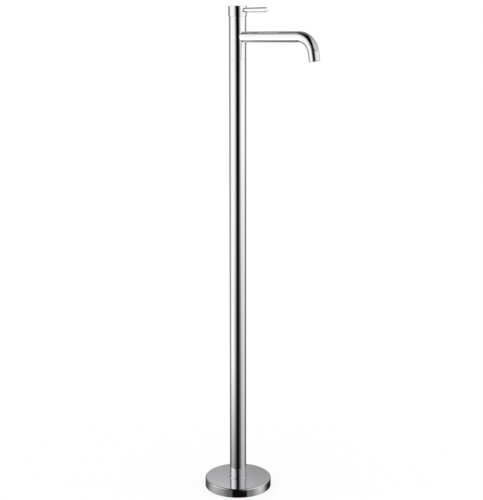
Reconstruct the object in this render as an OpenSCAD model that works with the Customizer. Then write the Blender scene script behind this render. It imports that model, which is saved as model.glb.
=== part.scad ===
// Floor-standing single-lever mixer tap: round column, side spout, pin lever and ceramic cartridge.
// Millimetres. Z is up, the column stands on the origin and the spout points along +X.

/* [Overall] */
// Height of the handle's flat top above the floor
tap_h = 1159; // [900:1:1300]
// Outside diameter of the column and of the mixer body
column_d = 40; // [40:0.5:41]
// Wall of the column tube
column_wall = 2; // [1.5:0.1:2.5]

/* [Handle] */
// Diameter of the turned handle cap
cap_d = 43; // [43:0.5:48]
// Height of the handle cap
cap_h = 23; // [22:0.5:28]
// Thickness of the handle cap's top
cap_top_t = 3; // [2:0.1:3.6]
// Break of the cap's outer edges
cap_round = 0.5; // [0.2:0.1:0.6]
// Open joint between the mixer body and the handle cap
cap_gap = 0.4; // [0.3:0.1:1.5]
// Diameter of the lever where it leaves the cap
lever_root_d = 10.5; // [8:0.5:10.5]
// Diameter of the lever at its free end
lever_tip_d = 11.5; // [9:0.5:12]
// Length of the lever outside the cap
lever_len = 64; // [40:1:90]
// Depth of the lever's axis below the cap's top
lever_drop = 9.5; // [8:0.5:9.5]
// Rounding of the lever's free end
lever_round = 1.2; // [0.5:0.1:3]
// Diameter of the lever's screwed shank
lever_stud_d = 6; // [4:0.5:6]

/* [Mixer body] */
// Solid length of the body below the spout's axis
body_below_spout = 51; // [40:1:70]
// Length of the spigot that enters the column
body_spigot_h = 18; // [14:1:30]
// Metal left between the spout's socket and the cartridge seat
seat_web = 1.8; // [1.5:0.1:4]
// Diameter of the drilled water ways
way_d = 4.5; // [3.5:0.1:4.6]
// Distance of the supply ways in front of the column's axis
way_x = 3.2; // [2.8:0.1:3.4]
// Distance of each supply way to the side of the column's axis
way_y = 7.6; // [7.4:0.1:7.8]
// Diameter of the mixed water way to the spout
outlet_way_d = 8; // [6:0.5:9]

/* [Spout] */
// Outside diameter of the spout tube
spout_d = 25; // [22:0.5:26]
// Wall of the spout tube
spout_wall = 1.5; // [1:0.1:2]
// Distance from the column's axis to the start of the spout's bend
spout_run = 174; // [120:1:240]
// Radius of the bend on the tube's centre line
bend_r = 41.5; // [30:0.5:60]
// Angle through which the spout bends down
bend_angle = 80.5; // [60:0.5:90]
// Straight length after the bend
spout_end = 18; // [16:0.5:40]
// Inner end of the spout tube, measured from the column's axis
spout_root_x = 9; // [8.5:0.1:10]

/* [Aerator] */
// Length of the aerator's threaded housing
aerator_h = 9; // [7:0.5:12]
// Depth of the aerator inside the outlet
aerator_recess = 0.8; // [0.4:0.1:2]
// Wall of the aerator's threaded housing
aerator_wall = 1.7; // [1.2:0.1:2]
// Width of one honeycomb cell across its corners
cell_d = 2.4; // [2:0.1:3]
// Web between two honeycomb cells
cell_web = 0.45; // [0.3:0.05:0.8]

/* [Cartridge] */
// Outside diameter of the cartridge housing
cartridge_d = 32; // [32:0.1:32.4]
// Thickness of each ceramic disc
disc_t = 2.5; // [2:0.1:3]
// Diameter of the moving ceramic disc
moving_disc_d = 24.4; // [24.2:0.1:24.8]
// Thickness of the cartridge's base
base_t = 3; // [2.5:0.1:4]
// Thickness of the port seals under the cartridge
seal_t = 1.5; // [1:0.1:1.8]
// Thickness of the disc carrier
carrier_t = 3.3; // [3:0.1:4]
// Height of the turning guide inside the housing
rotor_h = 7; // [6:0.1:7.4]
// Width of the square stem
stem_w = 8; // [6:0.1:8.2]
// Diameter of the stem's hinge pin
pivot_pin_d = 3; // [2:0.1:3.4]
// Distance from the hinge pin down to the drive ball
arm_len = 5.3; // [4.8:0.1:5.4]
// Diameter of the drive ball at the stem's lower end
ball_d = 4; // [3.6:0.1:4.2]
// Height of the cap's lower rim over the hinge pin
rim_rise = 16; // [15.5:0.1:17]
// Largest angle by which the lever lifts
tilt_max = 25; // [15:1:25]
// Height of the cartridge's clamping nut
nut_h = 4.6; // [3.5:0.1:4.8]

/* [Base] */
// Diameter of the floor flange
flange_d = 162; // [150:1:200]
// Height of the floor flange
flange_h = 21.5; // [20.5:0.5:30]
// Wall of the floor flange
flange_wall = 2; // [1:0.1:2.5]
// Rounding of the flange's upper edge
flange_round = 3; // [1:0.5:4]
// Height of the cover ring round the column's foot
foot_ring_h = 1.8; // [1:0.1:4]
// Width of the cover ring round the column's foot
foot_ring_w = 2.1; // [1:0.1:4]
// Diameter of the base plate
plate_d = 140; // [136:1:144]
// Thickness of the base plate
plate_t = 7; // [5:0.5:8]
// Thickness of the rubber gasket on the floor
gasket_t = 1.5; // [1:0.1:2]
// Circle on which the floor bolts stand
bolt_pcd = 112; // [100:1:120]
// Diameter of the floor bolt holes
bolt_hole_d = 9; // [7:0.5:11]
// Number of floor bolts
bolt_count = 4; // [3:1:6]

/* [Supply] */
// Outside diameter of the two supply tails
tail_d = 10; // [8:0.1:10.4]
// Wall of the supply tails
tail_wall = 1; // [0.6:0.1:1.5]
// Bore of the two inlet threads in the base
port_d = 14.95; // [12:0.05:15]
// Distance of each inlet thread to the side of the column's axis
port_y = 12.5; // [12.3:0.1:14]
// Depth of the inlet threads
port_depth = 10; // [8:0.5:11]
// Height of the inlet block's spigot inside the column
block_spigot_h = 18; // [14:1:40]
// Thickness of the inlet block's flange
block_flange_t = 5.5; // [5:0.5:6]
// Diameter of the inlet block's flange
block_flange_d = 68; // [66:1:76]
// Number of plastic spacers round the tails inside the column
spacer_count = 2; // [1:1:4]

/* [Hidden] */
$fn = 96;

// Clearances
cut = 1;               // how far a cutting tool runs past the face it opens
push_gap = 0.1;        // parts pushed or screwed together by hand
braze_gap = 0.05;      // spout tube in its socket
run_gap = 0.05;        // radial clearance of the hinge pin
turn_gap = 0.3;        // guide turning in the housing
slide_gap = 0.2;       // carrier between the guide's lugs, stem in its slot
eye_gap = 0.3;         // stem's hinge eye over the disc carrier
lap_gap = 0.05;        // water film between the ceramic discs
cap_clear = 1;         // handle cap over the dome ring
skirt_gap = 0.4;       // handle cap's skirt outside the body when it tilts
column_gap = 0.3;      // flange hole round the column
land = 0.15;           // least ceramic left between a port and the disc's pocket

// Heights, from the top down
cap_low = tap_h - cap_h;
pivot_z = cap_low - rim_rise;
pivot_rise = carrier_t + eye_gap + stem_w / 2;
carrier_low = pivot_z - pivot_rise;
moving_disc_low = carrier_low - lap_gap - disc_t;
fixed_disc_low = moving_disc_low - lap_gap - disc_t;
seat_z = fixed_disc_low - base_t;
spout_z = seat_z - seat_web - spout_d / 2;
body_low = spout_z - body_below_spout;
body_top = cap_low - cap_gap;
lever_z = tap_h - lever_drop;

// Heights, from the floor up
plate_low = gasket_t;
plate_top = plate_low + plate_t;
column_low = plate_top + block_flange_t;
block_top = column_low + block_spigot_h;
port_top = plate_low + port_depth;

// Column and body
column_r = column_d / 2;
column_bore_r = column_r - column_wall;
spigot_r = column_bore_r - push_gap;
seam_bevel = 0.3;
body_bevel = 0.5;
o_ring_r = 0.9;
o_ring_drop = 7;

// Supply ways: hot on the -Y side, cold on the +Y side
way_r = way_d / 2;
tail_r = tail_d / 2;
socket_r = tail_r + push_gap;
socket_depth = 14;
tail_end_gap = 0.2;
tail_ring_r = 0.65;
ring_seat = 6;
groove_r = socket_r + 2 * tail_ring_r;
groove_h = 2 * tail_ring_r + push_gap;
tail_ring_at = tail_r + push_gap / 2 + tail_ring_r;
tail_low = block_top - socket_depth;
tail_high = body_low - body_spigot_h + socket_depth;
spacer_h = 8;

// Handle
cap_r = cap_d / 2;
cap_bore_r = column_r + skirt_gap;
cap_ceiling = tap_h - cap_top_t;
rim_reach = norm([cap_bore_r, rim_rise]);
dome_r = rim_reach - cap_clear;
boss_low = pivot_z + dome_r + cap_clear;
dome_foot_r = column_r - body_bevel - 0.3;
boss_r = stem_w * 0.5 * sqrt(2) + 2.4;
lever_boss_x = 6;
lever_boss_r = lever_root_d / 2 + 1.5;
stem_top = cap_ceiling - 2;
lever_seat_x = sqrt(pow(cap_r, 2) - pow(lever_root_d / 2 + push_gap, 2)) - 0.6;
lever_stud_r = lever_stud_d / 2;

// Cartridge
cartridge_r = cartridge_d / 2;
bore_r = cartridge_r + push_gap;
disc_travel = arm_len * sin(tilt_max);
disc_offset = -disc_travel / 2;
moving_disc_r = moving_disc_d / 2;
housing_bore_r = moving_disc_r + disc_travel / 2 + 0.3;
base_bore_r = housing_bore_r + 0.6;
base_r = base_bore_r - push_gap;
port_ring_r = norm([way_x, way_y]);
pocket_r = port_ring_r - way_r - land;
pocket_depth = disc_t * 0.6;
outlet_port_r = 3.2;
way_back = outlet_port_r + 1.3;
inlet_seal_r = way_r + 1.6;
outlet_seal_r = outlet_port_r + 0.9;
seal_inset = 0.2;
peg_r = 1.2;
peg_at = [-8.6, 8.4];
peg_depth = 3;
rotor_low = carrier_low + carrier_t + 0.3;
rotor_top = rotor_low + rotor_h;
rotor_r = housing_bore_r - turn_gap;
lid_low = rotor_top + 0.1;
housing_top = lid_low + 2;
lid_hole_r = 11.2;
neck_r = lid_hole_r - turn_gap;
neck_top = housing_top + 1.5;
lug_y = 8.6;
key_y = 6.45;
carrier_r = moving_disc_r - 1.2;
ball_r = ball_d / 2;
arm_r = 1.3;
mouth_r = cartridge_r + 1.4;
nut_r = mouth_r - push_gap;
nut_bore_r = 12.3;
nut_slots = 4;
pivot_pin_r = pivot_pin_d / 2;
pivot_pin_len = 23;
stem_lean = tilt_max + asin(stem_w / 2 / dome_r);
dome_hole_r = norm([dome_r * sin(stem_lean), stem_w / 2]) + slide_gap;

// Spout
spout_r = spout_d / 2;
spout_bore_r = spout_r - spout_wall;
bend_z = spout_z - bend_r;
bend_end = [spout_run + bend_r * sin(bend_angle), bend_z + bend_r * cos(bend_angle)];
outlet_lean = 90 - bend_angle;
outlet_x = bend_end[0] + spout_end * sin(outlet_lean);
outlet_z = bend_end[1] - spout_end * cos(outlet_lean);
nozzle_bevel = 0.4;
shoulder_w = 1.2;

// Aerator
aerator_r = spout_bore_r - push_gap / 2;
aerator_bore_r = aerator_r - aerator_wall;
insert_r = aerator_bore_r - push_gap;
insert_h = aerator_h - 2;
washer_t = 1.5;
cell_pitch = cell_d * cos(30) + cell_web;
cell_rings = ceil(insert_r / cell_pitch);
cell_reach = insert_r - cell_d / 2 - cell_web / 2;

// Base
flange_r = flange_d / 2;
plate_r = plate_d / 2;
plate_hole_r = 24.2;
block_boss_r = plate_hole_r - push_gap * 2;
block_screw_r = 2.5;
block_screw_head_r = 4.7;
block_screw_head_h = block_screw_head_r - block_screw_r;
block_screw_at = (column_r + block_flange_d / 2) / 2 + 0.6;
block_screw_count = 4;
block_screw_low = plate_low + 0.5;
foot_screw_r = 2;
foot_screw_len = 6.8;
foot_screw_count = 3;
foot_screw_z = column_low + 3;
foot_ring_round = 0.6;

// A round bar of radius r from height low to height high, standing on the point at
module rod(r, low, high, at = [0, 0]) {
  translate([at[0], at[1], low]) cylinder(r = r, h = high - low);
}

// A tube between two radii from height low to height high
module sleeve(r_out, r_in, low, high, at = [0, 0]) {
  difference() {
    rod(r_out, low, high, at);
    rod(r_in, low - cut, high + cut, at);
  }
}

// A turned bar whose two outer edges are bevelled, by foot at the bottom and by head at the top
module bevelled_rod(r, low, high, foot, head) {
  rod(r, low + foot, high - head);
  translate([0, 0, low]) cylinder(r1 = r - foot, r2 = r, h = foot);
  translate([0, 0, high - head]) cylinder(r1 = r, r2 = r - head, h = head);
}

// A turned bar with a round upper edge of radius edge, tapering from r_low to r_high
module rounded_bar(r_low, r_high, h, edge) {
  rotate_extrude() {
    polygon([[0, 0], [r_low, 0], [r_high, h - edge], [0, h - edge]]);
    square([r_high - edge, h]);
    translate([r_high - edge, h - edge]) intersection() {
      circle(r = edge);
      square(edge);
    }
  }
}

// A ring of round section
module o_ring(ring_r, section_r, z, at = [0, 0]) {
  translate([at[0], at[1], z]) rotate_extrude() translate([ring_r, 0]) circle(r = section_r, $fn = 48);
}

// Places its children at count places on a circle, starting at angle start
module around(count, radius, start = 0) {
  for (i = [0 : count - 1])
    rotate([0, 0, start + i * 360 / count]) translate([radius, 0, 0]) children();
}

// Runs its children for the hot side and for the cold side
module both_sides() {
  for (side = [-1, 1]) translate([way_x, side * way_y, 0]) children();
}

// Frame of the outlet: its plane is z = 0 and +Z runs up into the spout
module at_outlet() {
  translate([outlet_x, 0, outlet_z]) rotate([0, -outlet_lean, 0]) children();
}

// Ring section of the spout tube
module tube_section() {
  difference() {
    circle(r = spout_r);
    circle(r = spout_bore_r);
  }
}

module floor_gasket() {
  color("dimgray") difference() {
    rod(plate_r - 1, 0, plate_low);
    rod(plate_hole_r, -cut, plate_low + cut);
    around(bolt_count, bolt_pcd / 2, 45) rod(bolt_hole_d / 2, -cut, plate_low + cut);
  }
}

module base_plate() {
  color("silver") difference() {
    bevelled_rod(plate_r, plate_low, plate_top, 0, 1);
    rod(plate_hole_r, plate_low - cut, plate_top + cut);
    around(bolt_count, bolt_pcd / 2, 45) rod(bolt_hole_d / 2, plate_low - cut, plate_top + cut);
    around(block_screw_count, block_screw_at)
      rod(block_screw_r + push_gap, block_screw_low, plate_top + cut);
  }
}

// Brass block on the base plate: two inlet threads below, two tail sockets above
module inlet_block() {
  color("goldenrod") difference() {
    union() {
      rod(block_boss_r, plate_low, plate_top);
      bevelled_rod(block_flange_d / 2, plate_top, column_low, 0, 1);
      bevelled_rod(spigot_r, column_low, block_top, 0, 1);
    }
    for (side = [-1, 1]) rod(port_d / 2, plate_low - cut, port_top, [way_x, side * port_y]);
    both_sides() {
      rod(way_r, port_top - cut, tail_low + cut);
      rod(socket_r, tail_low, block_top + cut);
      rod(groove_r, tail_low + ring_seat, tail_low + ring_seat + groove_h);
    }
    around(block_screw_count, block_screw_at) {
      rod(block_screw_r + push_gap, plate_top - cut, column_low + cut);
      translate([0, 0, column_low - block_screw_head_h - push_gap])
        cylinder(r1 = block_screw_r, r2 = block_screw_head_r + cut, h = block_screw_head_h + cut);
    }
    around(foot_screw_count, 0) foot_screw_shape(foot_screw_r + push_gap, foot_screw_len + cut);
  }
}

// Countersunk screws from the inlet block into the base plate, with hexagon sockets
module block_screws() {
  color("silver") around(block_screw_count, block_screw_at) difference() {
    union() {
      rod(block_screw_r, block_screw_low + 0.3, column_low - block_screw_head_h);
      translate([0, 0, column_low - block_screw_head_h])
        cylinder(r1 = block_screw_r, r2 = block_screw_head_r, h = block_screw_head_h - push_gap);
    }
    translate([0, 0, column_low - block_screw_head_h])
      cylinder(d = 3.4, h = block_screw_head_h + cut, $fn = 6);
  }
}

module flange_cover() {
  color("gainsboro") difference() {
    rounded_bar(flange_r, flange_r, flange_h, flange_round);
    translate([0, 0, -cut])
      rounded_bar(flange_r - flange_wall, flange_r - flange_wall, flange_h - flange_wall + cut,
                  max(flange_round - flange_wall, 0.5));
    rod(column_r + column_gap, -cut, flange_h + cut);
  }
}

// Thin ring that covers the joint between the flange and the column
module foot_ring() {
  inner = column_r + push_gap;
  outer = column_r + foot_ring_w;
  color("gainsboro") translate([0, 0, flange_h]) difference() {
    rounded_bar(outer, outer, foot_ring_h, foot_ring_round);
    rod(inner, -cut, foot_ring_h + cut);
  }
}

module column_tube() {
  color("gainsboro") difference() {
    bevelled_rod(column_r, column_low, body_low, 0, seam_bevel);
    rod(column_bore_r, column_low - cut, body_low + cut);
    around(foot_screw_count, 0) foot_screw_shape(foot_screw_r + push_gap, foot_screw_len + cut);
  }
}

// One grub screw lying along +X, its outer end just inside the column's surface
module foot_screw_shape(r, len) {
  translate([column_r - 0.1 - foot_screw_len, 0, foot_screw_z])
    rotate([0, 90, 0]) cylinder(r = r, h = len);
}

module column_screws() {
  color("silver") around(foot_screw_count, 0) difference() {
    foot_screw_shape(foot_screw_r, foot_screw_len);
    translate([column_r - 2.4, 0, foot_screw_z])
      rotate([0, 90, 0]) cylinder(d = 2.3, h = 2 + cut, $fn = 6);
  }
}

module tail(side) {
  color("goldenrod")
    sleeve(tail_r, tail_r - tail_wall, tail_low + tail_end_gap, tail_high - tail_end_gap,
           [way_x, side * way_y]);
}

module hot_tail() { tail(-1); }

module cold_tail() { tail(1); }

module tail_seals() {
  color("dimgray") both_sides() {
    o_ring(tail_ring_at, tail_ring_r, tail_low + ring_seat + groove_h / 2);
    o_ring(tail_ring_at, tail_ring_r, tail_high - ring_seat - groove_h / 2);
  }
}

// Plastic discs that keep the tails apart inside the column
module tail_spacers() {
  free = body_low - body_spigot_h - block_top;
  color("white") for (i = [1 : spacer_count]) {
    low = block_top + free * i / (spacer_count + 1) - spacer_h / 2;
    difference() {
      bevelled_rod(column_bore_r - turn_gap, low, low + spacer_h, 1, 1);
      both_sides() rod(tail_r + push_gap, low - cut, low + spacer_h + cut);
      rod(4, low - cut, low + spacer_h + cut, [-11, 0]);
    }
  }
}

module mixer_body() {
  spigot_low = body_low - body_spigot_h;
  color("gainsboro") difference() {
    union() {
      bevelled_rod(column_r, body_low, body_top, seam_bevel, body_bevel);
      bevelled_rod(spigot_r, spigot_low, body_low + cut, 1, 0);
    }
    // room for the cartridge and its nut
    rod(bore_r, seat_z, body_top + cut);
    rod(mouth_r, housing_top, body_top + cut);
    for (side = [-1, 1])
      rod(peg_r + push_gap, seat_z - peg_depth, seat_z + cut, [peg_at[0], side * peg_at[1]]);
    // supply ways and tail sockets
    both_sides() {
      rod(way_r, tail_high - cut, seat_z + cut);
      rod(socket_r, spigot_low - cut, tail_high);
      rod(groove_r, tail_high - ring_seat - groove_h, tail_high - ring_seat);
    }
    // mixed water way to the spout
    rod(outlet_port_r, spout_z, seat_z + cut);
    translate([-way_back, 0, spout_z]) rotate([0, 90, 0])
      cylinder(d = outlet_way_d, h = spout_root_x + way_back + cut);
    translate([spout_root_x, 0, spout_z]) rotate([0, 90, 0])
      cylinder(r = spout_r + braze_gap, h = column_r);
    // groove of the column's ring
    sleeve(spigot_r + cut, spigot_r + push_gap - 2 * o_ring_r,
           body_low - o_ring_drop - o_ring_r - push_gap, body_low - o_ring_drop + o_ring_r + push_gap);
  }
}

module body_o_ring() {
  color("dimgray") o_ring(column_bore_r - o_ring_r, o_ring_r, body_low - o_ring_drop);
}

// Straight run and bend, drawn in the bend's own frame
module spout_tube() {
  color("gainsboro") translate([spout_run, 0, bend_z]) rotate([90, 0, 0]) rotate([0, 0, 90]) {
    translate([bend_r, 0, 0]) rotate([-90, 0, 0]) linear_extrude(spout_run - spout_root_x) tube_section();
    rotate_extrude(angle = -bend_angle) translate([bend_r, 0]) tube_section();
  }
}

// Turned outlet brazed to the bend's end; its inner shoulder carries the aerator's washer
module spout_nozzle() {
  shoulder = aerator_recess + aerator_h + washer_t;
  color("gainsboro") at_outlet() difference() {
    bevelled_rod(spout_r, 0, spout_end, nozzle_bevel, 0);
    rod(spout_bore_r, -cut, shoulder);
    rod(spout_bore_r - shoulder_w, -cut, spout_end + cut);
  }
}

// Threaded ring in the outlet, with two notches for a key
module aerator_housing() {
  color("silver") at_outlet() difference() {
    sleeve(aerator_r, aerator_bore_r, aerator_recess, aerator_recess + aerator_h);
    for (turn = [0, 90]) rotate([0, 0, turn])
      translate([-aerator_r - cut, -1, aerator_recess - cut]) cube([2 * (aerator_r + cut), 2, 1.2 + cut]);
  }
}

// Stream former: a honeycomb of through cells in a round plug
module aerator_insert() {
  low = aerator_recess + 1.6;
  color("whitesmoke") at_outlet() difference() {
    rod(insert_r, low, low + insert_h);
    for (q = [-cell_rings : cell_rings], r = [-cell_rings : cell_rings]) {
      at = cell_pitch * [q + r / 2, r * sin(60)];
      if (norm(at) <= cell_reach)
        translate([at[0], at[1], low - cut])
          rotate([0, 0, 30]) cylinder(d = cell_d, h = insert_h + 2 * cut, $fn = 6);
    }
  }
}

module aerator_washer() {
  low = aerator_recess + aerator_h;
  color("dimgray") at_outlet() sleeve(aerator_r, aerator_bore_r - 0.6, low, low + washer_t);
}

// Flat rings round the three ports under the cartridge
module cartridge_seals() {
  color("dimgray") {
    both_sides() sleeve(inlet_seal_r, way_r + seal_inset, seat_z, seat_z + seal_t);
    sleeve(outlet_seal_r, outlet_port_r + seal_inset, seat_z, seat_z + seal_t);
  }
}

module cartridge_base() {
  color("white") difference() {
    union() {
      rod(base_r, seat_z, fixed_disc_low);
      for (side = [-1, 1])
        rod(peg_r, seat_z - peg_depth + push_gap * 2, seat_z + cut, [peg_at[0], side * peg_at[1]]);
    }
    both_sides() {
      rod(way_r, seat_z - cut, fixed_disc_low + cut);
      rod(inlet_seal_r + push_gap / 2, seat_z - cut, seat_z + seal_t);
    }
    rod(outlet_port_r, seat_z - cut, fixed_disc_low + cut);
    rod(outlet_seal_r + push_gap / 2, seat_z - cut, seat_z + seal_t);
  }
}

module fixed_disc() {
  color("snow") difference() {
    rod(base_r - push_gap, fixed_disc_low, fixed_disc_low + disc_t);
    both_sides() rod(way_r, fixed_disc_low - cut, fixed_disc_low + disc_t + cut);
    rod(outlet_port_r, fixed_disc_low - cut, fixed_disc_low + disc_t + cut);
  }
}

// Sliding disc: its pocket always meets the outlet and opens to the inlets as it slides
module moving_disc() {
  high = moving_disc_low + disc_t;
  color("snow") difference() {
    rod(moving_disc_r, moving_disc_low, high, [disc_offset, 0]);
    rod(pocket_r, moving_disc_low - cut, moving_disc_low + pocket_depth);
    for (side = [-1, 1]) rod(peg_r + push_gap, high - 0.9, high + cut, [disc_offset, side * key_y]);
  }
}

// Plastic carrier that the stem's ball pushes; it is keyed to the moving disc by two pegs
module disc_carrier() {
  high = carrier_low + carrier_t;
  slot = ball_r + slide_gap;
  color("dodgerblue") difference() {
    union() {
      intersection() {
        rod(carrier_r, carrier_low, high, [disc_offset, 0]);
        translate([-carrier_r * 2, slide_gap - lug_y, carrier_low])
          cube([carrier_r * 4, 2 * (lug_y - slide_gap), carrier_t]);
      }
      for (side = [-1, 1]) rod(peg_r, carrier_low - 0.8, carrier_low + cut, [disc_offset, side * key_y]);
    }
    translate([-slot, -slot, carrier_low - cut]) cube([2 * slot, 2 * slot, carrier_t + 2 * cut]);
  }
}

module cartridge_housing() {
  color("white") difference() {
    rod(cartridge_r, seat_z, housing_top);
    rod(base_bore_r, seat_z - cut, fixed_disc_low + disc_t + 0.2);
    rod(housing_bore_r, seat_z - cut, lid_low);
    rod(lid_hole_r, seat_z - cut, housing_top + cut);
  }
}

// Guide that turns in the housing; its lugs turn the carrier and its slot lets the stem tilt
module cartridge_rotor() {
  lug_low = carrier_low + 0.2;
  slot_back = (neck_top - pivot_z) * tan(tilt_max) + stem_w / 2 / cos(tilt_max) + slide_gap;
  color("lightgray") difference() {
    union() {
      rod(rotor_r, rotor_low, rotor_top);
      rod(neck_r, rotor_low, neck_top);
      for (side = [-1, 1]) intersection() {
        rod(rotor_r, lug_low, rotor_low + cut);
        translate([-rotor_r, side > 0 ? lug_y : -lug_y - rotor_r, lug_low])
          cube([2 * rotor_r, rotor_r, rotor_h]);
      }
    }
    translate([-slot_back, -stem_w / 2 - slide_gap, rotor_low - cut])
      cube([slot_back + stem_w / 2 + turn_gap, stem_w + 2 * slide_gap, neck_top - rotor_low + 2 * cut]);
    translate([0, 0, pivot_z]) rotate([90, 0, 0])
      cylinder(r = pivot_pin_r + run_gap, h = pivot_pin_len + 2 * push_gap, center = true);
  }
}

module stem_pivot_pin() {
  color("silver") translate([0, 0, pivot_z]) rotate([90, 0, 0])
    cylinder(r = pivot_pin_r, h = pivot_pin_len, center = true);
}

// Square stem with its hinge eye and the ball that drives the carrier
module cartridge_stem() {
  color("goldenrod") difference() {
    union() {
      translate([0, 0, pivot_z]) rotate([90, 0, 0]) cylinder(r = stem_w / 2, h = stem_w, center = true);
      translate([-stem_w / 2, -stem_w / 2, pivot_z]) cube([stem_w, stem_w, stem_top - pivot_z]);
      rod(arm_r, pivot_z - arm_len, pivot_z);
      translate([0, 0, pivot_z - arm_len]) sphere(r = ball_r);
    }
    translate([0, 0, pivot_z]) rotate([90, 0, 0])
      cylinder(r = pivot_pin_r + run_gap, h = stem_w + 2 * cut, center = true);
  }
}

// Threaded ring that holds the cartridge down, with slots for a key
module cartridge_nut() {
  high = housing_top + nut_h;
  color("goldenrod") difference() {
    sleeve(nut_r, nut_bore_r, housing_top, high);
    around(nut_slots, nut_r, 45) translate([-2.5, -1.5, high - 2]) cube([2.5 + cut, 3, 2 + cut]);
  }
}

// Domed collar on the body's mouth, centred on the hinge pin so that the cap swings clear of it
// and hidden in the cap at rest
module dome_ring() {
  color("gainsboro") difference() {
    union() {
      intersection() {
        translate([0, 0, pivot_z]) sphere(r = dome_r);
        rod(dome_foot_r, body_top, pivot_z + dome_r);
      }
      rod(mouth_r - push_gap, housing_top + nut_h + slide_gap, body_top + cut);
    }
    rod(dome_hole_r, housing_top, pivot_z + dome_r + cut);
  }
}

// Turned cap with a thin skirt just wider than the body, a square socket for the stem, and a boss
// and a spot face for the lever
module handle_cap() {
  color("gainsboro") difference() {
    union() {
      difference() {
        bevelled_rod(cap_r, cap_low, tap_h, cap_round, cap_round);
        rod(cap_bore_r, cap_low - cut, cap_ceiling);
      }
      rod(boss_r, boss_low, cap_ceiling + cut);
      intersection() {
        translate([lever_boss_x, 0, lever_z]) rotate([0, 90, 0]) cylinder(r = lever_boss_r, h = cap_r);
        rod(cap_bore_r + 0.5, cap_low, tap_h - cut);
      }
    }
    translate([-stem_w / 2 - push_gap, -stem_w / 2 - push_gap, boss_low - cut])
      cube([stem_w + 2 * push_gap, stem_w + 2 * push_gap, stem_top + push_gap - boss_low + cut]);
    translate([0, 0, lever_z]) rotate([0, 90, 0]) cylinder(r = lever_stud_r + push_gap, h = cap_r + cut);
    translate([lever_seat_x, 0, lever_z])
      rotate([0, 90, 0]) cylinder(r = lever_root_d / 2 + push_gap, h = cap_r);
  }
}

// Tapered lever; its shank screws through the cap and clamps the stem
module lever_pin() {
  stud_x = stem_w / 2 + push_gap;
  color("gainsboro") translate([0, 0, lever_z]) rotate([0, 90, 0]) {
    rod(lever_stud_r, stud_x, lever_seat_x + cut);
    translate([0, 0, lever_seat_x])
      rounded_bar(lever_root_d / 2, lever_tip_d / 2, cap_r + lever_len - lever_seat_x, lever_round);
  }
}

floor_gasket();
base_plate();
inlet_block();
block_screws();
flange_cover();
foot_ring();
column_tube();
column_screws();
hot_tail();
cold_tail();
tail_seals();
tail_spacers();
mixer_body();
body_o_ring();
spout_tube();
spout_nozzle();
aerator_housing();
aerator_insert();
aerator_washer();
cartridge_seals();
cartridge_base();
fixed_disc();
moving_disc();
disc_carrier();
cartridge_housing();
cartridge_rotor();
stem_pivot_pin();
cartridge_stem();
cartridge_nut();
dome_ring();
handle_cap();
lever_pin();
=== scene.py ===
"""Floor-standing single-lever basin mixer tap in bright chrome, photographed in a white studio."""
import math

import bmesh
import bpy
from mathutils import Matrix, Quaternion, Vector


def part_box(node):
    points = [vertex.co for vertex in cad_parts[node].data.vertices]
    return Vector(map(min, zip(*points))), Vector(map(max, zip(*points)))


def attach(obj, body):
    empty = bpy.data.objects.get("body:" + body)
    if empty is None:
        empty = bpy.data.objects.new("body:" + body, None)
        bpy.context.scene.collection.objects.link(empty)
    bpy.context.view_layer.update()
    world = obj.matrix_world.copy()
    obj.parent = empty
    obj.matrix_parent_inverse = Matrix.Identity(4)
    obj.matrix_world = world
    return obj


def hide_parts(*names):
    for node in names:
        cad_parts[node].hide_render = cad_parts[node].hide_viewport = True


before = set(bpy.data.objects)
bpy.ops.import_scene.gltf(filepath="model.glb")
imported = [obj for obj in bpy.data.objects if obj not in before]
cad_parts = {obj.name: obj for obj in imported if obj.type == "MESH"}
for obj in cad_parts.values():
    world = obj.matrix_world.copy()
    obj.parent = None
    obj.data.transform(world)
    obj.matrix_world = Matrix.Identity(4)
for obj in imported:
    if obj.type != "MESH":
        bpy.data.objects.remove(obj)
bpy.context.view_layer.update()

MM = 0.001

# Camera, from the perspective of the photograph, in metres unless it says otherwise
IMAGE_LONG_SIDE = 500          # pixels
FOCAL_LENGTH = 1049.1          # pixels
SENSOR = 36                    # millimetres along the long side
CAMERA_AZIMUTH = math.radians(40)
CAMERA_PITCH = math.radians(11.32)
CAMERA_DISTANCE = 2.4457
CAMERA_HEIGHT = 1.0833
CAMERA_ROLL = math.radians(-0.02)
COLUMN_OFFSET = 0.00865        # the column stands this far left of the picture's middle
VIEW_LIMIT = 500               # metres
RIGHT = Vector((math.cos(CAMERA_AZIMUTH), math.sin(CAMERA_AZIMUTH), 0))
AWAY = Vector((-math.sin(CAMERA_AZIMUTH), math.cos(CAMERA_AZIMUTH), 0))

# How finely the pieces are drawn
ROUND_SEGMENTS = 192           # round a turned piece and round the spout
EDGE_STEPS = 6                 # round a rounded edge
DOME_STEPS = 16
BEND_STEPS = 64
LIP_STEPS = 3
MERGE_DISTANCE = 0.001 * MM
SHARP_FROM = math.radians(40)  # edges that turn by more than this are shaded sharp

# Turning and edge sizes that the frame's boxes don't give
FIT = 0.1 * MM                 # clearance of one turned piece in another
SEAM_EDGE = 0.35 * MM
SPIGOT_EDGE = 1 * MM
BODY_TOP_EDGE = 0.15 * MM
CAP_TOP_EDGE = 0.55 * MM
CAP_FOOT_EDGE = 0.15 * MM
SHARP_EDGE = 0.2 * MM
COLUMN_WALL = 2 * MM
CAP_SKIRT_GAP = 0.4 * MM
CAP_TOP = 3 * MM
CAP_BOSS_R = 8.06 * MM
CAP_BOSS_DROP = 10.07 * MM
LEVER_BOSS_X = 6 * MM
LEVER_BOSS_R = 6.75 * MM
FLANGE_WALL = 2 * MM
FLANGE_EDGE = 3 * MM
FLANGE_INNER_EDGE = 1 * MM
FLANGE_HOLE_GAP = 0.3 * MM
FOOT_RING_EDGE = 0.6 * MM
PIVOT_Z = 1120 * MM
DOME_R = 24.926 * MM
LEVER_ROOT_R = 5.25 * MM
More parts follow.
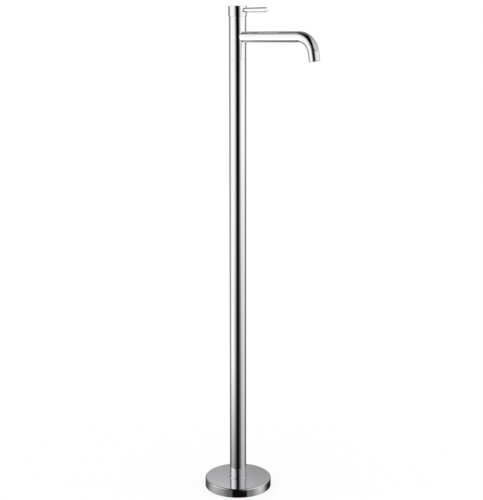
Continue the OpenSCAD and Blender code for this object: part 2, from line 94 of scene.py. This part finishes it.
LEVER_STUD_R = 3 * MM
LEVER_EDGE = 0.8 * MM
LEVER_STUD_LENGTH = 16.12 * MM
SPOUT_WALL = 1.5 * MM
SPOUT_RUN = 174 * MM
BEND_R = 41.5 * MM
BEND_ANGLE = math.radians(80.5)
SPOUT_END = 18 * MM
SPOUT_LIP = 0.4 * MM
LIP_FROM = math.radians(60)    # the tube's end edges turn by more than this

# Finishes: colour, roughness, and the size, depth and strength of the marks on them
CHROME = "#E8E7EA"
CHROME_ROUGHNESS = (0.025, 0.06)
BUFFING_WAVE = 45 * MM
BUFFING_DEPTH = 0.4 * MM
BUFFING_STRENGTH = 0.02
HAZE_PATCH = 30 * MM
TOOL_MARK_PITCH = 0.4932 * MM
TOOL_MARK_DEPTH = 0.05 * MM
TOOL_MARK_STRENGTH = 0.15
TURNED_PATCH = 4 * MM
WAVE_PERIOD = math.pi / 10     # of a wave texture at scale 1
MOULD_STRENGTH = 0.3
PAPER_FIBRE = 8 * MM
PAPER_DEPTH = 0.1 * MM
PAPER_STRENGTH = 0.05

# Studio
FLOOR_R = 2000.0
FLOOR_SEGMENTS = 96
FLOOR_GLOW = 0.75              # share of the floor's white that takes no shadow
SCREEN_LEVEL = 1.23            # brightness of the white screens in the chrome
MIRROR_RAYS = [("mirrored", "MAXIMUM", "glossy", "transmitted")]

# What the chrome mirrors. "side" is the angle round the vertical in degrees, 0 at the camera, 90
# on its right and -90 on its left, and "height" the angle over the horizon. "across" is the part
# of the direction that points to the camera's right, and "away" the distance from the column in
# metres. follow() says how a row is read.
# Painted shade on the floor as the chrome sees it: darker close to the tap and in front of it, and
# different on the left and the right
MIRRORED_FLOOR_PAINTED_SHADE = [
    ("left", "ease", "away", -0.5, 1.2, 0.1, 1.0),
    ("spread", "POWER", "away", 0.17),
    ("right", "MULTIPLY", "spread", 0.685),
    ("right", "MINIMUM", "right", 1.0),
    ("level", "ease", "side", -20, 20, "left", "right"),
    ("beside", "ABSOLUTE", "side"),
    ("front", "ease", "away", 0.3, 4.0, 0.62, 0.95),
    ("dim", "ease", "beside", 30, 65, "front", 1.0),
    ("mirrored", "MULTIPLY", "level", "dim"),
]
MIRRORED_STUDIO = [
    ("radians", "ARCSINE", "sine"),
    ("height", "DEGREES", "radians"),
    ("tilt", "ABSOLUTE", "height"),
    ("beside", "ABSOLUTE", "side"),
    # dark slot that passes over the camera, between two wide white screens
    ("shift", "ease", "height", -34.6, -2.3, 1.6, -2.0),
    ("shift", "ease", "height", -1.1, 5.4, "shift", 10.5),
    ("shift", "ease", "height", 20, 24, "shift", 3.2),
    ("shift", "ease", "height", 24, 28, "shift", 5.8),
    ("shift", "ease", "height", 30.3, 51.5, "shift", 1.5),
    ("slot", "ARCSINE", "across"),
    ("slot", "DEGREES", "slot"),
    ("slot", "ADD", "slot", "shift"),
    ("start", "ease", "tilt", -3, 27, 10.9, 4.0),
    ("full", "ease", "tilt", -6, 21.5, 50.0, 60.5),
    ("left start", "ease", "height", 24, 28, "start", 16.0),
    ("left full", "ease", "height", 24, 28, "full", 40.2),
    ("right start", "ease", "height", 24, 28, "start", 8.1),
    ("right full", "ease", "height", 24, 28, "full", 29.8),
    ("start", "ease", "slot", -3, 3, "left start", "right start"),
    ("full", "ease", "slot", -3, 3, "left full", "right full"),
    ("slot", "ABSOLUTE", "slot"),
    ("screens", "ease", "slot", "start", "full", 0.0, 1.0),
    ("behind", "ease", "beside", 50.5, 105.4, 0.0, 1.06),
    ("screens", "MAXIMUM", "screens", "behind"),
    # painted light and shade of the floor close to the tap, which the flange's edge mirrors: near
    # black in front of the camera, brightest to the sides and fading towards the back
    ("left edge", "ease", "side", -17.2, -24.9, 0.02, 0.72),
    ("left floor", "ease", "side", -29.5, -64.3, 0.65, 1.75),
    ("left floor", "MULTIPLY", "left floor", "left edge"),
    ("right edge", "ease", "side", 28.7, 35, 0.02, 0.83),
    ("right floor", "ease", "side", 43, 78.4, 0.7, 1.64),
    ("right floor", "MULTIPLY", "right floor", "right edge"),
    ("painted near-floor light and shade", "MAXIMUM", "left floor", "right floor"),
    ("left stop", "ease", "height", -31, -44, -146.4, -118.0),
    ("left end", "ease", "side", -89.8, "left stop", 1.0, 0.12),
    ("right end", "ease", "side", 79.4, 129.4, 1.1, 0.03),
    ("painted near-floor light and shade", "MULTIPLY", "painted near-floor light and shade", "left end"),
    ("painted near-floor light and shade", "MULTIPLY", "painted near-floor light and shade", "right end"),
    # black flags behind the screens, open to the white backdrop
    ("left flag low", "ease", "height", 41.5, 47, 0.2, 0.85),
    ("left flag", "ease", "side", -91.5, -124.5, 1.0, "left flag low"),
    ("right flag low", "ease", "height", 0, 3, 0.13, 0.5),
    ("right flag", "ease", "side", 91, 131.7, 1.0, "right flag low"),
    ("flags", "MULTIPLY", "left flag", "right flag"),
    ("backdrop", "ease", "beside", 157, 178.5, 0.0, 1.0),
    ("open", "MAXIMUM", "flags", "backdrop"),
    # how the screens and the backdrop dim towards the ceiling
    ("left top", "ease", "height", 65.5, 16, 0.02, 0.96),
    ("right top", "ease", "height", 5.5, 24.3, 1.01, 0.58),
    ("right high", "ease", "height", 86.6, 54.8, 0.0, 0.96),
    ("right top", "MULTIPLY", "right top", "right high"),
    ("front top", "ease", "side", 2, 9, "left top", "right top"),
    ("rear top", "ease", "height", -7, 25.2, 1.17, 0.3),
    ("rear glow", "ease", "height", 22.4, 25.6, 0.0, 0.21),
    ("rear top", "ADD", "rear top", "rear glow"),
    ("rear end", "ease", "height", 39, 45, 0.9, 0.3),
    ("rear top", "MULTIPLY", "rear top", "rear end"),
    ("rear half", "ease", "across", -0.025, 0.025, 1.18, 0.96),
    ("rear top", "MULTIPLY", "rear top", "rear half"),
    ("top", "ease", "beside", 122, 170, "front top", "rear top"),
    ("level", "MULTIPLY", "screens", "open"),
    # below the horizon the chrome sees the painted light and shade of the floor close to the tap
    ("level", "ease", "height", -23.4, -23.7, "level", "painted near-floor light and shade"),
    ("level", "MULTIPLY", "level", "top"),
    ("level", "MULTIPLY", "level", SCREEN_LEVEL),
]


def linear(hex_colour):
    """Linear RGBA of an sRGB hex colour such as '#F2F3F5'."""
    channels = [int(hex_colour[i:i + 2], 16) / 255 for i in (1, 3, 5)]
    return (*(c / 12.92 if c <= 0.04045 else ((c + 0.055) / 1.055) ** 2.4 for c in channels), 1)


def add(tree, kind, inputs=None, **settings):
    """Adds a node, sets its settings, and sets or links its inputs by name or number."""
    node = tree.nodes.new(kind)
    for name, value in settings.items():
        setattr(node, name, value)
    for socket, value in (inputs or {}).items():
        if isinstance(value, bpy.types.NodeSocket):
            tree.links.new(value, node.inputs[socket])
        else:
            node.inputs[socket].default_value = value
    return node


def new_material(name):
    """An empty material and its node tree."""
    material = bpy.data.materials.new(name)
    material.use_nodes = True
    material.node_tree.nodes.clear()
    return material, material.node_tree


def finish_material(tree, shader):
    add(tree, "ShaderNodeOutputMaterial", {"Surface": shader.outputs[0]})


def chrome_plate():
    """Bright chrome electroplated on polished brass: mirror gloss, with the faint waviness that
    buffing leaves and a slight haze where hands have wiped it."""
    material, tree = new_material("bright_chrome_on_polished_brass")
    where = add(tree, "ShaderNodeTexCoord").outputs["Object"]
    buffing = add(tree, "ShaderNodeTexNoise", {
        "Vector": where, "Scale": 1 / BUFFING_WAVE, "Detail": 1.0})
    bump = add(tree, "ShaderNodeBump", {
        "Height": buffing.outputs["Fac"], "Strength": BUFFING_STRENGTH, "Distance": BUFFING_DEPTH})
    haze = add(tree, "ShaderNodeTexNoise", {
        "Vector": where, "Scale": 1 / HAZE_PATCH, "Detail": 4.0})
    roughness = add(tree, "ShaderNodeMapRange", {
        "Value": haze.outputs["Fac"], "From Min": 0.35, "From Max": 0.75,
        "To Min": CHROME_ROUGHNESS[0], "To Max": CHROME_ROUGHNESS[1]})
    shader = add(tree, "ShaderNodeBsdfPrincipled", {
        "Base Color": linear(CHROME), "Metallic": 1.0, "Roughness": roughness.outputs[0],
        "Normal": bump.outputs[0]})
    finish_material(tree, shader)
    return material


def turned_metal(name, colour, roughness):
    """Metal as it comes off a lathe: fine tool marks, seen as a soft sheen."""
    material, tree = new_material(name)
    where = add(tree, "ShaderNodeTexCoord").outputs["Object"]
    marks = add(tree, "ShaderNodeTexWave", {
        "Vector": where, "Scale": WAVE_PERIOD / TOOL_MARK_PITCH, "Distortion": 0.4,
        "Detail": 1.0}, wave_type="RINGS", rings_direction="Z")
    patches = add(tree, "ShaderNodeTexNoise", {
        "Vector": where, "Scale": 1 / TURNED_PATCH, "Detail": 3.0})
    bump = add(tree, "ShaderNodeBump", {
        "Height": marks.outputs["Fac"], "Strength": TOOL_MARK_STRENGTH,
        "Distance": TOOL_MARK_DEPTH})
    varied = add(tree, "ShaderNodeMapRange", {
        "Value": patches.outputs["Fac"], "To Min": roughness * 0.8, "To Max": roughness * 1.25})
    shader = add(tree, "ShaderNodeBsdfPrincipled", {
        "Base Color": linear(colour), "Metallic": 1.0, "Roughness": varied.outputs[0],
        "Normal": bump.outputs[0]})
    finish_material(tree, shader)
    return material


def moulded(name, colour, roughness, grain_size, grain_depth):
    """Moulded rubber or plastic: an even colour, with the fine grain of the mould's wall."""
    material, tree = new_material(name)
    where = add(tree, "ShaderNodeTexCoord").outputs["Object"]
    grain = add(tree, "ShaderNodeTexNoise", {
        "Vector": where, "Scale": 1 / grain_size, "Detail": 3.0})
    bump = add(tree, "ShaderNodeBump", {
        "Height": grain.outputs["Fac"], "Strength": MOULD_STRENGTH, "Distance": grain_depth})
    varied = add(tree, "ShaderNodeMapRange", {
        "Value": grain.outputs["Fac"], "To Min": roughness * 0.85, "To Max": roughness * 1.15})
    shader = add(tree, "ShaderNodeBsdfPrincipled", {
        "Base Color": linear(colour), "Roughness": varied.outputs[0], "Normal": bump.outputs[0]})
    finish_material(tree, shader)
    return material


def arc(height, radius, start, end, steps):
    """Outline points of a ball centred on the axis, from one angle in degrees to another."""
    points = []
    for i in range(steps + 1):
        angle = math.radians(start + (end - start) * i / steps)
        points.append((radius * math.cos(angle), height + radius * math.sin(angle), 0))
    return points


def rounded(corners):
    """Closed outline through corners given as (radius, height, edge), each edge rounded."""
    outline = []
    for i, (r, h, edge) in enumerate(corners):
        here = Vector((r, h))
        if edge == 0:
            outline.append(here)
            continue
        back = (Vector(corners[i - 1][:2]) - here).normalized()
        ahead = (Vector(corners[(i + 1) % len(corners)][:2]) - here).normalized()
        half = back.angle(ahead) / 2
        centre = here + (back + ahead).normalized() * edge / math.sin(half)
        spoke = here + back * edge / math.tan(half) - centre
        sweep = here + ahead * edge / math.tan(half) - centre
        turn = math.atan2(spoke.x * sweep.y - spoke.y * sweep.x, spoke.dot(sweep))
        for step in range(EDGE_STEPS + 1):
            outline.append(centre + Matrix.Rotation(turn * step / EDGE_STEPS, 2) @ spoke)
    return outline


def link(name, mesh):
    obj = bpy.data.objects.new(name, mesh)
    bpy.context.scene.collection.objects.link(obj)
    return obj


def applied(obj):
    """The object with its modifiers baked into a plain mesh."""
    depsgraph = bpy.context.evaluated_depsgraph_get()
    mesh = bpy.data.meshes.new_from_object(obj.evaluated_get(depsgraph))
    obj.modifiers.clear()
    obj.data = mesh
    return obj


def polished(obj, material):
    """Smooth shading that keeps flat faces flat, and the piece's finish."""
    obj.data.materials.clear()
    obj.data.materials.append(material)
    obj.data.shade_smooth()
    obj.data.set_sharp_from_angle(angle=SHARP_FROM)
    weighted = obj.modifiers.new("flat faces stay flat", "WEIGHTED_NORMAL")
    weighted.keep_sharp = True
    return applied(obj)


def turned(name, corners, material, along="Z", axis_z=0.0):
    """A turned piece: the outline spun round the Z axis, or round a level axis along X."""
    bm = bmesh.new()
    verts = [bm.verts.new((p.x, 0, p.y)) for p in rounded(corners)]
    edges = [bm.edges.new((verts[i - 1], verts[i])) for i in range(len(verts))]
    bmesh.ops.spin(bm, geom=verts + edges, cent=(0, 0, 0), axis=(0, 0, 1), angle=2 * math.pi,
                   steps=ROUND_SEGMENTS, use_merge=True)
    bmesh.ops.remove_doubles(bm, verts=bm.verts, dist=MERGE_DISTANCE)
    bmesh.ops.recalc_face_normals(bm, faces=bm.faces)
    if along == "X":
        bm.transform(Matrix.Translation((0, 0, axis_z)) @ Matrix.Rotation(math.radians(90), 4, "Y"))
    mesh = bpy.data.meshes.new(name)
    bm.to_mesh(mesh)
    bm.free()
    return polished(link(name, mesh), material)


def stands_for(piece, body, slot, *nodes):
    """The piece moves with a body and is shown for these nodes. The slot is not used."""
    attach(piece, body)
    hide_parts(*nodes)


def column(material):
    low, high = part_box("column_tube")
    corners = [(high.x, low.z, 0), (high.x, high.z, SEAM_EDGE), (high.x - COLUMN_WALL, high.z, 0),
               (high.x - COLUMN_WALL, low.z, 0)]
    stands_for(turned("column", corners, material), "stand", "chrome", "column_tube")


def body(material):
    low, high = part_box("mixer_body")
    column_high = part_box("column_tube")[1]
    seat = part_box("cartridge_housing")[0].z
    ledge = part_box("cartridge_housing")[1].z
    mouth_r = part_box("cartridge_nut")[1].x + FIT
    bore_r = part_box("cartridge_housing")[1].x + FIT
    spigot_r = column_high.x - COLUMN_WALL - FIT
    corners = [(0, low.z, 0), (spigot_r, low.z, SPIGOT_EDGE), (spigot_r, column_high.z, 0),
               (high.x, column_high.z, SEAM_EDGE), (high.x, high.z, BODY_TOP_EDGE),
               (mouth_r, high.z, SHARP_EDGE), (mouth_r, ledge, 0), (bore_r, ledge, 0),
               (bore_r, seat, 0), (0, seat, 0)]
    stands_for(turned("mixer_casting", corners, material), "stand", "chrome", "mixer_body")


def dome(material):
    low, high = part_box("dome_ring")
    body_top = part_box("mixer_body")[1].z
    inner_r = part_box("cartridge_nut")[1].x - FIT
    start = math.degrees(math.acos(high.x / DOME_R))
    end = math.degrees(math.asin((high.z - PIVOT_Z) / DOME_R))
    sphere = arc(PIVOT_Z, DOME_R, start, end, DOME_STEPS)
    hole_r = sphere[-1][0]
    corners = [(inner_r, low.z, 0), (inner_r, body_top, 0), (high.x, body_top, 0)] + sphere
    corners.append((hole_r, low.z, 0))
    stands_for(turned("dome_collar", corners, material), "stand", "chrome", "dome_ring")


def cap(material):
    low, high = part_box("handle_cap")
    bore_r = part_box("mixer_body")[1].x + CAP_SKIRT_GAP
    ceiling = high.z - CAP_TOP
    boss_low = ceiling - CAP_BOSS_DROP
    corners = [(high.x, low.z, CAP_FOOT_EDGE), (high.x, high.z, CAP_TOP_EDGE), (0, high.z, 0),
               (0, boss_low, 0), (CAP_BOSS_R, boss_low, SHARP_EDGE), (CAP_BOSS_R, ceiling, 0),
               (bore_r, ceiling, 0), (bore_r, low.z, SHARP_EDGE)]
    stands_for(turned("turned_cap", corners, material), "handle", "chrome", "handle_cap")
    lever_low, lever_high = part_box("lever_pin")
    lever_z = (lever_low.z + lever_high.z) / 2
    corners = [(0, LEVER_BOSS_X, 0), (LEVER_BOSS_R, LEVER_BOSS_X, SHARP_EDGE),
               (LEVER_BOSS_R, bore_r, 0), (0, bore_r, 0)]
    boss = turned("lever_boss", corners, material, along="X", axis_z=lever_z)
    stands_for(boss, "handle", "chrome")


def lever(material):
    low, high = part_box("lever_pin")
    tip_r = (high.z - low.z) / 2
    seat = low.x + LEVER_STUD_LENGTH
    corners = [(0, low.x, 0), (LEVER_STUD_R, low.x, SHARP_EDGE), (LEVER_STUD_R, seat, 0),
               (LEVER_ROOT_R, seat, 0), (tip_r, high.x, LEVER_EDGE), (0, high.x, 0)]
    piece = turned("lever", corners, material, along="X", axis_z=(low.z + high.z) / 2)
    stands_for(piece, "handle", "chrome", "lever_pin")


def flange(material):
    low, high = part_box("flange_cover")
    hole_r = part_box("column_tube")[1].x + FLANGE_HOLE_GAP
    inner_r = high.x - FLANGE_WALL
    ceiling = high.z - FLANGE_WALL
    corners = [(high.x, low.z, SHARP_EDGE), (high.x, high.z, FLANGE_EDGE),
               (hole_r, high.z, SHARP_EDGE), (hole_r, ceiling, 0),
               (inner_r, ceiling, FLANGE_INNER_EDGE), (inner_r, low.z, 0)]
    stands_for(turned("floor_flange", corners, material), "stand", "chrome", "flange_cover")


def foot_ring(material):
    low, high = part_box("foot_ring")
    inner_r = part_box("column_tube")[1].x + FIT
    corners = [(inner_r, low.z, 0), (high.x, low.z, 0), (high.x, high.z, FOOT_RING_EDGE),
               (inner_r, high.z, 0)]
    stands_for(turned("foot_cover_ring", corners, material), "stand", "chrome", "foot_ring")


def sweep_tree():
    """A round tube along a run, a bend and a straight end, with its sizes as inputs."""
    tree = bpy.data.node_groups.new("bent tube", "GeometryNodeTree")
    sockets = [("Root", "NodeSocketVector"), ("Corner", "NodeSocketVector"),
               ("End", "NodeSocketVector"), ("Bend radius", "NodeSocketFloat"),
               ("Tube radius", "NodeSocketFloat"), ("Finish", "NodeSocketMaterial")]
    for name, kind in sockets:
        tree.interface.new_socket(name, in_out="INPUT", socket_type=kind)
    tree.interface.new_socket("Tube", in_out="OUTPUT", socket_type="NodeSocketGeometry")
    given = add(tree, "NodeGroupInput").outputs
    point = add(tree, "GeometryNodeIndexSwitch", data_type="VECTOR")
    point.index_switch_items.new()
    index = add(tree, "GeometryNodeInputIndex")
    tree.links.new(index.outputs[0], point.inputs["Index"])
    for i, name in enumerate(("Root", "Corner", "End")):
        tree.links.new(given[name], point.inputs[i + 1])
    line = add(tree, "GeometryNodeMeshLine", {"Count": 3})
    placed = add(tree, "GeometryNodeSetPosition", {
        "Geometry": line.outputs[0], "Position": point.outputs[0]})
    path = add(tree, "GeometryNodeMeshToCurve", {"Mesh": placed.outputs[0]})
    bent = add(tree, "GeometryNodeFilletCurve", {
        "Curve": path.outputs[0], "Count": BEND_STEPS, "Radius": given["Bend radius"]}, mode="POLY")
    section = add(tree, "GeometryNodeCurvePrimitiveCircle", {
        "Resolution": ROUND_SEGMENTS, "Radius": given["Tube radius"]})
    tube = add(tree, "GeometryNodeCurveToMesh", {
        "Curve": bent.outputs[0], "Profile Curve": section.outputs[0]})
    real = add(tree, "GeometryNodeRealizeInstances", {"Geometry": tube.outputs[0]})
    painted = add(tree, "GeometryNodeSetMaterial", {
        "Geometry": real.outputs[0], "Material": given["Finish"]})
    add(tree, "NodeGroupOutput", {"Tube": painted.outputs[0]})
    return tree


def set_inputs(modifier, **values):
    """Sets a geometry modifier's inputs by their names."""
    for item in modifier.node_group.interface.items_tree:
        if item.item_type == "SOCKET" and item.in_out == "INPUT":
            key = item.name.lower().replace(" ", "_")
            if key in values:
                modifier[item.identifier] = values[key]


def spout(material):
    low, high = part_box("spout_tube")
    tube_r = high.y
    axis_z = high.z - tube_r
    reach = BEND_R * math.tan(BEND_ANGLE / 2)
    corner = Vector((SPOUT_RUN + reach, 0, axis_z))
    down = Vector((math.cos(BEND_ANGLE), 0, -math.sin(BEND_ANGLE)))
    obj = link("spout", bpy.data.meshes.new("spout"))
    sweep = obj.modifiers.new("bent tube", "NODES")
    sweep.node_group = sweep_tree()
    set_inputs(sweep, root=Vector((low.x, 0, axis_z)), corner=corner,
               end=corner + down * (reach + SPOUT_END), bend_radius=BEND_R, tube_radius=tube_r,
               finish=material)
    applied(obj)
    bm = bmesh.new()
    bm.from_mesh(obj.data)
    bmesh.ops.recalc_face_normals(bm, faces=bm.faces)
    bm.to_mesh(obj.data)
    bm.free()
    wall = obj.modifiers.new("wall", "SOLIDIFY")
    wall.thickness = SPOUT_WALL
    wall.offset = -1
    wall.use_even_offset = True
    lip = obj.modifiers.new("lip", "BEVEL")
    lip.width = SPOUT_LIP
    lip.segments = LIP_STEPS
    lip.limit_method = "ANGLE"
    lip.angle_limit = LIP_FROM
    applied(obj)
    stands_for(polished(obj, material), "stand", "chrome", "spout_tube", "spout_nozzle")


def carried_over(finishes):
    """Gives nodes that keep the part's own shape their real finish."""
    for names, material in finishes:
        for name in names:
            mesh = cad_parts[name].data
            mesh.materials.clear()
            mesh.materials.append(material)


def make_camera():
    data = bpy.data.cameras.new("camera")
    data.lens = FOCAL_LENGTH * SENSOR / IMAGE_LONG_SIDE
    data.sensor_width = SENSOR
    data.clip_end = VIEW_LIMIT
    camera = link("camera", data)
    camera.location = COLUMN_OFFSET * RIGHT - CAMERA_DISTANCE * AWAY + Vector((0, 0, CAMERA_HEIGHT))
    look = AWAY * math.cos(CAMERA_PITCH) - Vector((0, 0, math.sin(CAMERA_PITCH)))
    camera.rotation_mode = "QUATERNION"
    camera.rotation_quaternion = look.to_track_quat("-Z", "Y") @ Quaternion((0, 0, 1), CAMERA_ROLL)
    bpy.context.scene.camera = camera


def bearing(tree, where):
    """How far a direction or place lies to the camera's right, and its angle in degrees round the
    vertical: 0 towards the camera, 90 to its right, -90 to its left."""
    across = add(tree, "ShaderNodeVectorMath", {0: where, 1: RIGHT}, operation="DOT_PRODUCT")
    toward = add(tree, "ShaderNodeVectorMath", {0: where, 1: -AWAY}, operation="DOT_PRODUCT")
    turn = add(tree, "ShaderNodeMath", {0: across.outputs["Value"], 1: toward.outputs["Value"]},
               operation="ARCTAN2")
    side = add(tree, "ShaderNodeMath", {0: turn.outputs[0]}, operation="DEGREES")
    return {"across": across.outputs["Value"], "side": side.outputs[0]}


def follow(tree, plan, known):
    """Builds a plan of brightness and returns its last level. Each row names a level, says how it
    is made, and from what: "ease" runs along a value, from one number to another, between two
    levels, and the other ways are a Math node's. A name stands for a value that is known by then,
    and a row may give a name a new value."""
    for name, way, *values in plan:
        values = [known.get(value, value) for value in values]
        if way == "ease":
            sockets = ("Value", "From Min", "From Max", "To Min", "To Max")
            node = add(tree, "ShaderNodeMapRange", dict(zip(sockets, values)),
                       interpolation_type="SMOOTHSTEP")
        else:
            node = add(tree, "ShaderNodeMath", dict(enumerate(values)), operation=way)
        known[name] = node.outputs[0]
    return node.outputs[0]


def mirrored_share(tree, rays):
    """1 for what a surface mirrors or shows through itself, 0 for all other rays."""
    return follow(tree, MIRROR_RAYS, {"glossy": rays.outputs["Is Glossy Ray"],
                                      "transmitted": rays.outputs["Is Transmission Ray"]})


def make_floor():
    """A pale seamless floor. The camera sees it white with the tap's soft shadow. The chrome sees
    through it to the studio, with painted shade on it: the see-through tint is darker close to the
    tap and in front of it, and differs between the left and the right, where less of the soft light
    would reach it."""
    material, tree = new_material("pale_studio_paper")
    where = add(tree, "ShaderNodeTexCoord").outputs["Object"]
    fibre = add(tree, "ShaderNodeTexNoise", {
        "Vector": where, "Scale": 1 / PAPER_FIBRE, "Detail": 4.0})
    bump = add(tree, "ShaderNodeBump", {
        "Height": fibre.outputs["Fac"], "Strength": PAPER_STRENGTH, "Distance": PAPER_DEPTH})
    paper = add(tree, "ShaderNodeBsdfDiffuse", {
        "Color": linear("#FFFFFF"), "Normal": bump.outputs[0]})
    glow = add(tree, "ShaderNodeEmission", {"Color": linear("#FFFFFF"), "Strength": 1.0})
    rays = add(tree, "ShaderNodeLightPath")
    share = add(tree, "ShaderNodeMath", {0: rays.outputs["Is Camera Ray"], 1: FLOOR_GLOW},
                operation="MULTIPLY")
    seen = add(tree, "ShaderNodeMixShader", {
        0: share.outputs[0], 1: paper.outputs[0], 2: glow.outputs[0]})
    away = add(tree, "ShaderNodeVectorMath", {0: where}, operation="LENGTH").outputs["Value"]
    level = follow(tree, MIRRORED_FLOOR_PAINTED_SHADE, {"away": away, **bearing(tree, where)})
    # the floor's painted shade, as a see-through tint on what the chrome mirrors
    painted_shade_in_chrome = add(tree, "ShaderNodeBsdfTransparent", {"Color": level})
    mixed = add(tree, "ShaderNodeMixShader", {
        0: mirrored_share(tree, rays), 1: seen.outputs[0], 2: painted_shade_in_chrome.outputs[0]})
    finish_material(tree, mixed)
    mesh = bpy.data.meshes.new("floor")
    bm = bmesh.new()
    bmesh.ops.create_circle(bm, cap_ends=True, radius=FLOOR_R, segments=FLOOR_SEGMENTS)
    bm.to_mesh(mesh)
    bm.free()
    floor = link("floor", mesh)
    mesh.materials.append(material)


def make_studio():
    """Plain white surroundings for the camera and for matt surfaces. What the chrome mirrors is
    the studio of the photograph: a dark slot over the camera between two wide white screens, a
    black flag behind each of them for the tap's dark outlines, a white backdrop, and a dim
    ceiling."""
    world = bpy.data.worlds.new("studio")
    bpy.context.scene.world = world
    world.use_nodes = True
    tree = world.node_tree
    tree.nodes.clear()
    where = add(tree, "ShaderNodeTexCoord").outputs["Generated"]
    sine = add(tree, "ShaderNodeSeparateXYZ", {0: where}).outputs["Z"]
    level = follow(tree, MIRRORED_STUDIO, {"sine": sine, **bearing(tree, where)})
    mirrored = add(tree, "ShaderNodeBackground", {"Color": level, "Strength": 1.0})
    white = add(tree, "ShaderNodeBackground", {"Color": linear("#FFFFFF"), "Strength": 1.0})
    rays = add(tree, "ShaderNodeLightPath")
    mixed = add(tree, "ShaderNodeMixShader", {
        0: mirrored_share(tree, rays), 1: white.outputs[0], 2: mirrored.outputs[0]})
    add(tree, "ShaderNodeOutputWorld", {"Surface": mixed.outputs[0]})


def main():
    make_camera()
    chrome = chrome_plate()
    rubber = moulded("moulded_black_nitrile_rubber", "#1B1C1E", 0.55, 0.4 * MM, 0.02 * MM)
    acetal = moulded("moulded_white_acetal", "#ECEBE6", 0.38, 0.6 * MM, 0.01 * MM)
    blue_acetal = moulded("moulded_blue_acetal", "#2C6FB7", 0.38, 0.6 * MM, 0.01 * MM)
    ceramic = moulded("lapped_white_alumina", "#F1EFEA", 0.16, 0.3 * MM, 0.002 * MM)
    brass = turned_metal("turned_brass", "#C9A35C", 0.28)
    steel = turned_metal("turned_stainless_steel", "#B9BBBF", 0.3)
    column(chrome)
    body(chrome)
    dome(chrome)
    cap(chrome)
    lever(chrome)
    flange(chrome)
    foot_ring(chrome)
    spout(chrome)
    carried_over([
        (["floor_gasket", "tail_seals", "body_o_ring", "cartridge_seals",
          "aerator_washer"], rubber),
        (["tail_spacers", "cartridge_base", "cartridge_housing", "cartridge_rotor",
          "aerator_insert"], acetal),
        (["disc_carrier"], blue_acetal),
        (["fixed_disc", "moving_disc"], ceramic),
        (["inlet_block", "hot_tail", "cold_tail", "cartridge_stem", "cartridge_nut"], brass),
        (["base_plate", "block_screws", "column_screws", "stem_pivot_pin"], steel),
        (["aerator_housing"], chrome),
    ])
    make_floor()
    make_studio()
    scene = bpy.context.scene
    scene.view_settings.view_transform = "Standard"


main()
